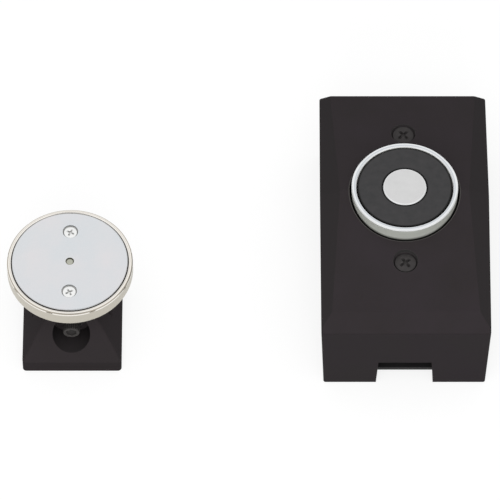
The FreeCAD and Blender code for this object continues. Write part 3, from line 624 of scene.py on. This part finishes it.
# On the cover the band at hole_edge is a painted highlight on the hole's rounded edge, the pocket colour
# paints the pocket walls lighter against their shade, and sides is painted shade on the bevels.
cover_paint = finish("cover_paint", (51, 47, 48), (55, 50, 53), (0.5, 0.6), cloud=25 * mm, grain=0.45 * mm,
                     depth=0.012 * mm, edge=(58, 54, 55), bands=[(hole_edge, 0.3 * mm, (88, 85, 84))],
                     pockets=(screw_row, pocket_r, 0.1 * mm, (66, 64, 64)), sides=(50, 47, 48),
                     Specular_IOR_Level=0.04)
# The base has the cover's coat, painted a little lighter against the shade it stands in under the armature.
base_paint = finish("base_paint", (57, 53, 54), (61, 56, 58), (0.5, 0.6), cloud=25 * mm, grain=0.45 * mm,
                    depth=0.012 * mm, edge=(64, 60, 61),
                    bore=(bore_middle, bore_shade_r, counterbore_floor, (49, 46, 47)), Specular_IOR_Level=0.008)
# The hollow colour is painted shade in the screws' recesses and in the gap round their heads.
blackened_steel = finish("blackened_steel", (59, 57, 57), (68, 65, 65), (0.45, 0.6), cloud=2 * mm,
                         grain=0.15 * mm, depth=0.006 * mm, edge=(72, 70, 69), hollow=(27, 25, 25),
                         Specular_IOR_Level=0.1)
# The pivot screw's black steel is painted lighter against the shade of the armature over it; its hollow
# colour is painted shade in the socket and between the knurls.
oiled_and_lightened_steel = finish("oiled_and_lightened_steel", (66, 64, 63), (76, 73, 72), (0.4, 0.55), cloud=2 * mm, grain=0.15 * mm,
                     depth=0.006 * mm, edge=(96, 93, 91), hollow=(30, 29, 29), Specular_IOR_Level=0.2)
black_post = finish("black_post", (30, 28, 28), (40, 38, 38), (0.45, 0.6), cloud=5 * mm, grain=0.3 * mm,
                    depth=0.01 * mm, edge=(58, 56, 55), Specular_IOR_Level=0.2)
print("hole edge at", round(hole_edge / mm, 2), "mm from the magnet's axis")

# %% Magnet: turned steel and resin
polished = (250, 251, 252)
joint_black = (24, 24, 24)              # of resin where it meets steel
face_foot = magnet_face - 0.03 * mm     # below it, the faces' polished chamfers
chamfer_foot = magnet_face - 0.45 * mm  # below it, the pot's satin side
ring_middle = (pot_r + resin_r) / 2
core_edge = core_r - 0.15 * mm
front_slope = 0.146                     # fall of the cover's front for each mm away from the magnet's axis
shade_ridge = cover_ridge + 1.0 * mm     # how high the painted shade reaches on the pot, at the cover's ridge
shade_fade = 1.6 * mm

turned_steel = finish("turned_steel", (212, 212, 212), (220, 220, 220), (0.28, 0.38), cloud=6 * mm,
                      height="rings", grain=0.1 * mm, depth=0.004 * mm, Metallic=1.0,
                      bands=[(core_edge, 0.4 * mm, polished)],
                      zones=[(face_foot, polished, 0.25, 1.0)])
# On the pot, roof paints shade: its side is dark below the cover's front, in the gap.
rim_steel = finish("rim_steel", (236, 239, 240), (243, 245, 246), (0.28, 0.38), cloud=6 * mm,
                   height="rings", grain=0.1 * mm, depth=0.004 * mm, Metallic=1.0,
                   bands=[(ring_middle, 0.4 * mm, (206, 210, 215))],
                   zones=[(face_foot, polished, 0.25, 1.0), (chamfer_foot, (228, 231, 222), 0.5, 0.25)],
                   roof=(shade_ridge, front_slope, shade_fade, (30, 29, 27)))
cast_resin = finish("cast_resin", (55, 55, 56), (67, 66, 67), (0.55, 0.75), cloud=3 * mm,
                    bands=[(core_r, 0.9 * mm, joint_black), (resin_r, 0.7 * mm, joint_black)],
                    grain=0.3 * mm, depth=0.012 * mm, Specular_IOR_Level=0.25)
# The shade on the pot whose reach this prints is painted: dark colour below the cover's front.
print("dirt on the pot from", round((shade_ridge - shade_fade) / mm, 1), "mm down, at the cover's ridge")

# %% Armature: nickel and zinc
lip_foot = cup_top - 1.1 * mm           # below it, the cup's duller side
rim_foot = plate_top - 0.5 * mm         # below it, the plate's dull side
# Dark lines painted on the cup's lip: painted shade of its rounds.
lip_shade_lines = [(cup_r - 0.33 * mm, 0.3 * mm, (192, 184, 170)),
             (cup_r - 1.1 * mm, 0.15 * mm, (212, 206, 195)),
             (cup_r - 1.9 * mm, 0.3 * mm, (165, 161, 154))]
dent_count = 9                          # stakes that close the lip on the plate
first_dent = math.radians(-68)
dent_half_turn = math.radians(3.6)
dent_half_height = 0.3 * mm
dent_level = cup_top - 0.75 * mm
# Dark colour painted in the stake dents round the cup: painted shade.
dent_shade = (112, 106, 96)
pin_gap = pin_r + 0.1 * mm

# Below lip_foot the cup's side is painted darker, a painted reflection of the dark base under it.
nickel_plating = finish("nickel_plating", (243, 239, 232), (250, 246, 240), (0.14, 0.22), cloud=8 * mm,
                        height="rings", grain=0.2 * mm, depth=0.003 * mm, centre=armature_axis,
                        bands=lip_shade_lines, zones=[(lip_foot, (198, 193, 181), 0.38, 1.0)],
                        dents=(dent_count, first_dent, dent_half_turn, dent_level, dent_half_height,
                               dent_shade), Metallic=1.0)
# The band at pin_gap paints the wall of the pin's hole lighter, against the shade in it.
blue_zinc = finish("blue_zinc", (216, 222, 226), (230, 228, 230), (0.3, 0.42), cloud=24 * mm,
                   grain=0.25 * mm, depth=0.003 * mm, centre=armature_axis,
                   bands=[(pin_gap, 0.2 * mm, (214, 214, 205))],
                   zones=[(rim_foot, (190, 190, 188), 0.5, 1.0)], Metallic=1.0)
# The hollow colour is painted shade in the plate screws' cross recesses.
white_zinc = finish("white_zinc", (241, 242, 241), (252, 252, 251), (0.3, 0.45), cloud=2 * mm,
                    grain=0.2 * mm, depth=0.004 * mm, hollow=(88, 88, 85), Metallic=1.0)
# The band on the pin's edge is painted shade, a dark ring beside the gap round the pin.
dull_pin = finish("dull_pin", (184, 185, 172), (198, 199, 187), (0.4, 0.55), cloud=1 * mm,
                  grain=0.12 * mm, depth=0.005 * mm, centre=armature_axis,
                  bands=[(pin_r, 0.42 * mm, (112, 111, 100))], Metallic=1.0)
print("lip of the cup", round((cup_top - lip_foot) / mm, 1), "mm high, with", dent_count, "dents")

# %% [markdown]
# ## Finishes of the inside
# Through the cable notch one can look in at the mounting plate and the parts on it. They get the colours that
# an electrician expects: zinc-plated brackets and pillars, a green board, black mouldings, red leads and a
# green earth screw.

# %% Inside finishes
black_coat = finish("black_coat", (44, 43, 44), (52, 51, 52), (0.45, 0.6), cloud=20 * mm,
                    grain=0.4 * mm, depth=0.01 * mm, edge=(84, 83, 83), Specular_IOR_Level=0.2)
plain_zinc = finish("plain_zinc", (176, 178, 178), (204, 205, 203), (0.32, 0.5), cloud=4 * mm,
                    grain=0.3 * mm, depth=0.006 * mm, Metallic=1.0)
black_moulding = finish("black_moulding", (26, 26, 27), (34, 34, 35), (0.5, 0.62), cloud=6 * mm,
                        grain=0.25 * mm, depth=0.008 * mm, edge=(48, 48, 49), Specular_IOR_Level=0.35)
enamelled_copper = finish("enamelled_copper", (150, 78, 38), (186, 104, 56), (0.25, 0.4), cloud=3 * mm,
                          grain=0.35 * mm, depth=0.02 * mm, Metallic=1.0)
red_insulation = finish("red_insulation", (142, 22, 18), (168, 32, 26), (0.4, 0.5), cloud=5 * mm,
                        grain=0.5 * mm, depth=0.004 * mm)
green_board = finish("green_board", (16, 74, 42), (24, 92, 54), (0.28, 0.4), cloud=4 * mm,
                     grain=0.7 * mm, depth=0.006 * mm, edge=(118, 112, 74))
green_lacquer = finish("green_lacquer", (24, 104, 44), (36, 124, 58), (0.25, 0.4), cloud=2 * mm,
                       grain=0.2 * mm, depth=0.006 * mm, edge=(150, 160, 140))
print(len(bpy.data.materials), "materials so far")

# %% Finishes go onto the CAD nodes
finish_of = {
    cover_paint: ["cover"],
    base_paint: ["armature_base"],
    blackened_steel: ["pivot_washer", "pivot_spring_washer"],
    black_post: ["swivel_post"],
    black_coat: ["mounting_plate"],
    turned_steel: ["magnet_core"],
    rim_steel: ["magnet_pot"],
    cast_resin: ["potting_ring"],
    nickel_plating: ["armature_cup"],
    blue_zinc: ["armature_plate"],
    dull_pin: ["centre_pin"],
    plain_zinc: ["cover_standoffs", "magnet_bracket", "bracket_rivets", "magnet_bolt", "magnet_lock_washer",
                 "board_spacers", "board_screws", "terminal_screws"],
    black_moulding: ["coil_bobbin", "lead_bush", "rectifier", "terminal_block"],
    enamelled_copper: ["coil_winding"],
    red_insulation: ["coil_leads"],
    green_board: ["circuit_board"],
    green_lacquer: ["earth_screw"],
}
for material, names in finish_of.items():
    for name in names:
        nodes[name].data.materials.clear()
        nodes[name].data.materials.append(material)
print("finishes on", sum(len(names) for names in finish_of.values()), "nodes")

# %% [markdown]
# ## Screws
# Three kinds of screw show: oval ones in the cover, countersunk ones in the armature plate, and the knurled
# cap screw that the armature tilts on. Each is one closed surface about its own axis: a profile of rows,
# from the middle of the head down to the middle of the tip, carried round in steps. Two things are then
# worked into the grid. On the head's top, a driver recess lowers the points, with soft walls as a punch
# leaves them. On the shank, a helix draws the radius in between the crests of the thread. Boolean cuts
# could do the same, but would leave hard edges and long thin faces. Each screw takes its place and its
# lengths and radii from the CAD screw that it stands for. An attribute, "hollow", keeps how much painted
# shade each point gets: in the recess, in the gap round the head and between the knurls.

# %% Surfaces round an axis
sharp_angle = math.radians(40)


def node_points(name):
    """All corners of a CAD node's mesh, as rows of x, y, z."""
    mesh = nodes[name].data
    flat = np.empty(3 * len(mesh.vertices))
    mesh.vertices.foreach_get("co", flat)
    return flat.reshape(-1, 3)


def smooth_step(low, high, value):
    """Rises from 0 at low to 1 at high along 3t^2 - 2t^3."""
    share = np.clip((value - low) / (high - low), 0, 1)
    return share * share * (3 - 2 * share)


def closed_lathe(radius, height, top, bottom):
    """Closed surface: the point at row i and turn j lies radius[i, j] from the axis at height[i, j].

    A fan of triangles joins the first row to the top pole, and another joins the last row to the bottom pole.
    """
    rows, turns = radius.shape
    angle = 2 * np.pi * np.arange(turns) / turns
    grid = np.stack([radius * np.cos(angle), radius * np.sin(angle), height], axis=-1).reshape(-1, 3)
    points = np.vstack([grid, [[0, 0, top], [0, 0, bottom]]])
    here = np.arange(rows * turns).reshape(rows, turns)
    after = np.roll(here, -1, axis=1)
    quads = np.stack([here[:-1], here[1:], after[1:], after[:-1]], axis=-1).reshape(-1, 4)
    top_fan = np.stack([np.full(turns, rows * turns), here[0], after[0]], axis=-1)
    bottom_fan = np.stack([np.full(turns, rows * turns + 1), after[-1], here[-1]], axis=-1)
    return points, quads.tolist() + top_fan.tolist() + bottom_fan.tolist()


def add_piece(name, parts, material, body, replaced):
    """One piece from several closed surfaces, with their hollows, shaded smooth but for its sharp edges."""
    points, faces, hollows, count = [], [], [], 0
    for part_points, part_faces, part_hollow in parts:
        points.append(part_points)
        hollows.append(part_hollow)
        faces += [[corner + count for corner in face] for face in part_faces]
        count += len(part_points)
    mesh = bpy.data.meshes.new(name)
    mesh.from_pydata(np.vstack(points).tolist(), [], faces)
    mesh.attributes.new("hollow", "FLOAT", "POINT").data.foreach_set("value", np.concatenate(hollows))
    mesh.shade_smooth()
    mesh.set_sharp_from_angle(angle=sharp_angle)
    mesh.materials.append(material)
    piece = bpy.data.objects.new(name, mesh)
    scene.collection.objects.link(piece)
    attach(piece, body)
    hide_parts(replaced)
    print(name, len(points), "surfaces,", len(faces), "faces")
    return piece


print("cover screws have", len(node_points("cover_screws")), "CAD corners")

# %% Driver recesses and threads
def cross_recess(x, y, head_r, turn):
    """Depth and painted shade of a cross recess: crossed blades with soft walls, their floor rising at the
    ends.

    The painted shade is light in the middle, and darker further out along the blades.
    """
    reach, deepest = 0.62 * head_r, 0.22 * head_r
    half_blade, wall = 0.115 * head_r, 0.035 * head_r
    floor_rise = 0.4 * reach
    unshaded_end, shaded_start = 0.1 * reach, 0.4 * reach
    least_shade, more_shade = 0.15, 0.4
    across = np.abs(x * math.cos(turn) + y * math.sin(turn))
    along = np.abs(y * math.cos(turn) - x * math.sin(turn))
    from_blade = np.minimum(across, along)
    from_middle = np.maximum(across, along)
    blade = 1 - smooth_step(half_blade - wall, half_blade + wall, from_blade)
    floor = np.clip((reach - from_middle) / floor_rise, 0, 1)
    shade_amount = least_shade + more_shade * smooth_step(unshaded_end, shaded_start, from_middle)
    return deepest * blade * floor, shade_amount * blade * floor


def hex_recess(x, y, half_flats, deepest):
    """Depth and painted shade of a hex socket: greatest of three distances to flats, soft walls, a cone
    floor.
    """
    wall, cone_slope, shade_amount = 0.06 * half_flats, 0.3, 0.5
    turns = np.radians([0, 60, 120])
    spread = np.abs(x[..., None] * np.cos(turns) + y[..., None] * np.sin(turns)).max(axis=-1)
    cone = cone_slope * (half_flats - spread)
    inside = 1 - smooth_step(half_flats - wall, half_flats + wall, spread)
    return inside * (deepest + np.clip(cone, 0, None)), shade_amount * inside


def thread_cut(height, angle, top, tip, pitch, deep):
    """How far a thread draws the radius in: a triangle wave along the helix, fading out at both its ends."""
    phase = (height / pitch - angle / (2 * np.pi)) % 1
    fade = smooth_step(tip, tip + pitch, height) * (1 - smooth_step(top - pitch, top, height))
    return deep * np.abs(2 * phase - 1) * fade


print("a cross recess in an 8 mm head is", round(cross_recess(0.0, 0.0, 4.0, 0.0)[0], 2), "mm deep")

# %% A whole screw
rows_per_pitch = 8
thread_share = 0.35               # depth of a thread as a share of its pitch
knurl_depth = 0.25 * mm
rim_zone = (0.9, 0.96)            # shares of the head's radius where the painted shade of the gap starts, and is full
side_share = 0.98                 # rows further out than this belong to the head's side
tip_flat = 0.4                    # inner row of the tip's flat end, as a share of its radius


def screw_surface(head, neck_z, shank_r, tip_z, recess, pitch, turns=144, knurls=0, rim_shade=0.0):
    """Closed screw: head is rows of (radius, height) from the top's middle to the neck, then the shank.

    The recess lowers the rows of the head's top, which are those before its widest row, and gives the
    painted shade in it. Knurls are ribs on the head's side, as many as given: a triangle wave round the axis
    draws the radius in between them, with painted shade in the valleys. Rim shade is how much painted shade
    darkens the head's rim, beside the gap round it.
    """
    head_r = head[:, 0].max()
    spare = 0.5 * pitch
    tip_r = shank_r - spare
    rows = int(np.ceil((neck_z - tip_z) / (pitch / rows_per_pitch)))
    shank_z = np.linspace(neck_z, tip_z + spare, rows)[1:]
    shank = np.column_stack([np.full(rows - 1, shank_r), shank_z])
    tip = np.array([[tip_r, tip_z], [tip_flat * tip_r, tip_z]])
    profile = np.vstack([head[1:], shank, tip])
    angle = 2 * np.pi * np.arange(turns) / turns
    radius = np.repeat(profile[:, :1], turns, axis=1)
    height = np.repeat(profile[:, 1:], turns, axis=1)
    cut = thread_cut(height, angle, neck_z - pitch, tip_z + spare, pitch, thread_share * pitch)
    on_shank = np.arange(len(profile)) >= len(head) - 1
    radius = radius - np.where(on_shank[:, None], cut, 0)
    widest = int(np.argmax(head[:, 0])) - 1
    on_top = np.arange(len(profile)) < widest
    depth, painted_shade = recess(radius * np.cos(angle), radius * np.sin(angle))
    height = height - np.where(on_top[:, None], depth, 0)
    near_rim = smooth_step(*rim_zone, profile[:, :1] / head_r)
    hollow = np.maximum(np.where(on_top[:, None], painted_shade, 0), rim_shade * near_rim)
    if knurls:
        side = (profile[:, 0] > side_share * head_r) & ~on_top
        valley = np.abs(((angle * knurls / (2 * np.pi)) % 1) * 2 - 1)
        radius = radius - np.where(side[:, None], knurl_depth * valley, 0)
        hollow = np.maximum(hollow, np.where(side[:, None], valley / valley.max(), 0))
    (deepest,), (middle_shade,) = recess(np.zeros(1), np.zeros(1))
    hollow = np.append(hollow.ravel(), [middle_shade, 0.0])
    return *closed_lathe(radius, height, head[0, 1] - deepest, tip_z), hollow


print("threads have", rows_per_pitch, "rows to a turn")

# %% [markdown]
# The cover's two screws have low oval heads, a shallow cap over a 90 degree countersink. The plate's two
# screws are flat countersunk ones. Their heads lie in pockets, with a dark gap round the black ones. Nobody
# lines screws up, so each cross stands at its own angle.

# %% Cover screws and plate screws
top_rows = 60                     # of the grid on a head's top, fine enough for a recess
cone_rows = 12                    # and on its countersink
oval_dome = 0.6 * mm
cover_pitch = 0.8 * mm
plate_pitch = 0.6 * mm
cover_turns = np.radians([37, 43])     # of the crosses, near and far screw
plate_turns = np.radians([28, -28])


def head_and_tip(points):
    """Measures one upright screw: its axis, head radius, shank radius, top and tip."""
    tip_slice = 0.1 * mm
    low, high = points.min(axis=0), points.max(axis=0)
    axis = (low[:2] + high[:2]) / 2
    out = np.hypot(*(points[:, :2] - axis).T)
    shank_r = out[points[:, 2] < low[2] + tip_slice].max()
    return axis, out.max(), shank_r, high[2], low[2]


def countersunk_screw(points, dome, pitch, turn, rim_shade):
    """Screw with a 90 degree countersunk head, whose top is a cap over the rim, or flat where dome is 0.

    The cap's height over the rim is dome * (1 - (distance from the axis / head radius)^2).
    """
    axis, head_r, shank_r, top_z, tip_z = head_and_tip(points)
    edge = 0.05 * head_r
    rim_z = top_z - dome
    neck_z = rim_z - (head_r - shank_r)
    cap_r = np.linspace(0, head_r - edge, top_rows)
    cap_z = rim_z + dome * (1 - (cap_r / head_r) ** 2)
    slope = np.linspace(0, 1, cone_rows)
    cone_r = head_r + slope * (shank_r - head_r)
    cone_z = rim_z - edge + slope * (neck_z - rim_z + edge)
    head = np.column_stack([np.append(cap_r, cone_r), np.append(cap_z, cone_z)])
    surface, faces, hollow = screw_surface(head, neck_z, shank_r, tip_z,
                                           lambda x, y: cross_recess(x, y, head_r, turn), pitch,
                                           rim_shade=rim_shade)
    return surface + [*axis, 0], faces, hollow


def near_and_far(name, middle_y):
    """The corners of a node of two screws, parted into those before and those behind the middle."""
    points = node_points(name)
    return [points[(points[:, 1] - middle_y) * side > 0] for side in (-1, 1)]


cover_screws = [countersunk_screw(half, oval_dome, cover_pitch, turn, rim_shade=1.0)
                for half, turn in zip(near_and_far("cover_screws", 0), cover_turns)]
plate_screws = [countersunk_screw(half, 0.0, plate_pitch, turn, rim_shade=0.0)
                for half, turn in zip(near_and_far("armature_screws", armature_axis[1]), plate_turns)]
add_piece("oval_cover_screws", cover_screws, blackened_steel, "fixed_units", "cover_screws")
add_piece("countersunk_plate_screws", plate_screws, white_zinc, "armature_head",
          "armature_screws")

# %% [markdown]
# The pivot screw is a socket cap screw. It lies along -Y, so it is made upright first, and then turned: its
# height becomes -Y and its second direction becomes Z. A turn, not a mirror, so that its faces still point
# outwards.

# %% Pivot screw
cap_edge = 0.3 * mm
cap_share = 0.9                   # corners further out than this, by the cap's radius, lie on the cap
socket_half = 2.05 * mm           # from the socket's middle to a flat
socket_depth = 1.0 * mm
pivot_pitch = 0.7 * mm
side_rows = 16                    # of the grid on the cap's side
seat_rows = 6                     # and under the cap
cap_turns = 240                   # ten steps for each knurl
knurl_count = 24

pivot_x, pivot_y, pivot_z = node_points("pivot_screw").T
upright = np.column_stack([pivot_x, pivot_z, -pivot_y])
pivot_axis, cap_r, pivot_r, cap_top, pivot_tip = head_and_tip(upright)
from_axis = np.hypot(*(upright[:, :2] - pivot_axis).T)
cap_foot = upright[from_axis > cap_share * cap_r, 2].min()

top_r = np.linspace(0, cap_r - cap_edge, top_rows)
side_z = np.linspace(cap_top - cap_edge, cap_foot, side_rows)
seat_r = np.linspace(cap_r, pivot_r, seat_rows)[1:]
head_rows_r = np.concatenate([top_r, np.full(side_rows, cap_r), seat_r])
head_rows_z = np.concatenate([np.full(top_rows, cap_top), side_z, np.full(seat_rows - 1, cap_foot)])
cap_head = np.column_stack([head_rows_r, head_rows_z])
surface, faces, hollow = screw_surface(cap_head, cap_foot, pivot_r, pivot_tip,
                                       lambda x, y: hex_recess(x, y, socket_half, socket_depth), pivot_pitch,
                                       turns=cap_turns, knurls=knurl_count)
turned = np.column_stack([surface[:, 0] + pivot_axis[0], -surface[:, 2], surface[:, 1] + pivot_axis[1]])
add_piece("knurled_pivot_screw", [(turned, faces, hollow)],
          oiled_and_lightened_steel, "fixed_units", "pivot_screw")
